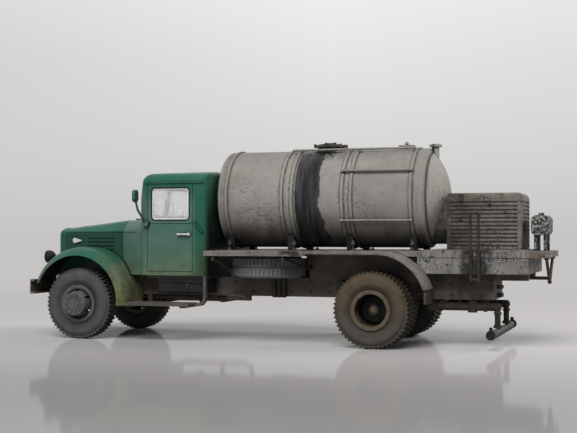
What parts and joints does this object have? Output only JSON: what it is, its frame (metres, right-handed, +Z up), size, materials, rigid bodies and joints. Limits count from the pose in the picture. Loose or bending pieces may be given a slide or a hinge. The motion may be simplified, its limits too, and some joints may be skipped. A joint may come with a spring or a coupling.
{
  "type": "bitumen distributor truck scale model",
  "caption": "Weathered scale model of a bonneted road-works truck with a cylindrical bitumen tank, catwalks, a ribbed engine housing and a rear spray bar; its wheels turn",
  "frame": {"origin": "on the ground under the middle of the overall length", "axes": "X points forward, Y to the truck's left, Z up"},
  "size_m": [0.1776, 0.061, 0.0677],
  "materials": {
    "green_paint": "weathered satin paint",
    "chassis_paint": "dusty matt paint",
    "cab_plastic": "matt",
    "clear_glass": "clear",
    "lamp_glass": "clear",
    "bright_trim": "polished",
    "deck_paint": "weathered matt paint with bitumen specks",
    "tank_paint": "weathered matt paint with rust along the seams",
    "bitumen_black": "glossy black",
    "housing_paint": "weathered matt paint",
    "pipe_metal": "dull metal",
    "tyre_rubber": "dusty rubber",
    "wheel_paint": "dusty satin paint"
  },
  "bodies": {
    "chassis": {"bonnet": "green_paint", "radiator_grille": "green_paint", "front_fenders": "green_paint", "cab_shell": "green_paint", "cab_roof": "green_paint", "mirrors": "green_paint", "grab_handles": "green_paint", "frame_rails": "chassis_paint", "cross_members": "chassis_paint", "front_bumper": "chassis_paint", "front_axle": "chassis_paint", "rear_axle": "chassis_paint", "leaf_springs": "chassis_paint", "engine_and_gearbox": "chassis_paint", "propeller_shaft": "chassis_paint", "exhaust_pipe": "chassis_paint", "running_boards": "chassis_paint", "side_boxes": "chassis_paint", "fuel_tank": "chassis_paint", "catwalk_brackets": "chassis_paint", "subframe_beams": "chassis_paint", "tank_saddles": "chassis_paint", "side_guards": "chassis_paint", "rear_step": "chassis_paint", "bitumen_pump": "chassis_paint", "headlamp_shells": "chassis_paint", "mud_flaps": "chassis_paint", "rail_bracket": "chassis_paint", "cab_interior": "cab_plastic", "dashboard": "cab_plastic", "cab_glazing": "clear_glass", "headlamp_lenses": "lamp_glass", "door_handles": "bright_trim", "bonnet_latches": "bright_trim", "deck_plate": "deck_paint", "catwalks": "deck_paint", "rear_platform": "deck_paint", "tank_shell": "tank_paint", "tank_straps": "tank_paint", "tank_caps": "tank_paint", "tank_side_rails": "tank_paint", "tank_hatch": "bitumen_black", "burner_flange": "bitumen_black", "engine_housing": "housing_paint", "fuel_drum": "housing_paint", "spray_bar": "pipe_metal", "spray_pipes": "pipe_metal", "spare_tyre": "tyre_rubber", "spare_wheel": "wheel_paint"},
    "front_left_wheel": {"tyre_front_left": "tyre_rubber", "wheel_front_left": "wheel_paint"},
    "front_right_wheel": {"tyre_front_right": "tyre_rubber", "wheel_front_right": "wheel_paint"},
    "rear_left_wheels": {"tyres_rear_left": "tyre_rubber", "wheels_rear_left": "wheel_paint"},
    "rear_right_wheels": {"tyres_rear_right": "tyre_rubber", "wheels_rear_right": "wheel_paint"}
  },
  "joints": [
    {"name": "front_left_wheel_spin", "type": "hinge", "parent": "chassis", "child": "front_left_wheel", "pos_m": [0.06935, 0.02265, 0.0122], "axis": [0, 1, 0], "continuous": true},
    {"name": "front_right_wheel_spin", "type": "hinge", "parent": "chassis", "child": "front_right_wheel", "pos_m": [0.06935, -0.02265, 0.0122], "axis": [0, 1, 0], "continuous": true},
    {"name": "rear_left_wheels_spin", "type": "hinge", "parent": "chassis", "child": "rear_left_wheels", "pos_m": [-0.03565, 0.0223, 0.0122], "axis": [0, 1, 0], "continuous": true},
    {"name": "rear_right_wheels_spin", "type": "hinge", "parent": "chassis", "child": "rear_right_wheels", "pos_m": [-0.03565, -0.0223, 0.0122], "axis": [0, 1, 0], "continuous": true}
  ]
}
